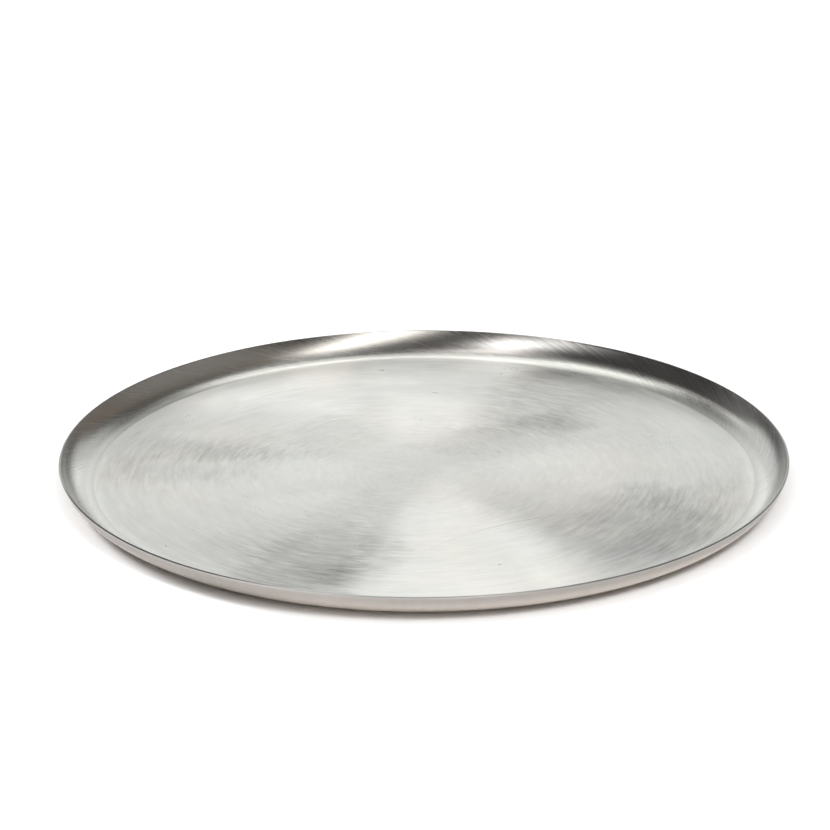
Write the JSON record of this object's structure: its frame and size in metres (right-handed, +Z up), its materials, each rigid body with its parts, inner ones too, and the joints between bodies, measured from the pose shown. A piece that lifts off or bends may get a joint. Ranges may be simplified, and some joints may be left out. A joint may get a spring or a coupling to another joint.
{
  "type": "serving dish",
  "caption": "Round shallow serving dish of brushed stainless steel sheet, with a flat floor that sweeps up into a low flared wall with a plain cut lip.",
  "frame": {"origin": "centre of the flat underside, on the surface that the dish stands on", "axes": "+Z up along the dish's axis of revolution; +X and +Y are any two level directions, because the dish is round, and the pictured front faces -Y"},
  "size_m": [0.3999, 0.4, 0.014],
  "materials": {
    "brushed_sheet": "circular brushed satin, with a neutral to slightly warm grey"
  },
  "bodies": {
    "root": {"dish": "brushed_sheet"}
  },
  "joints": []
}
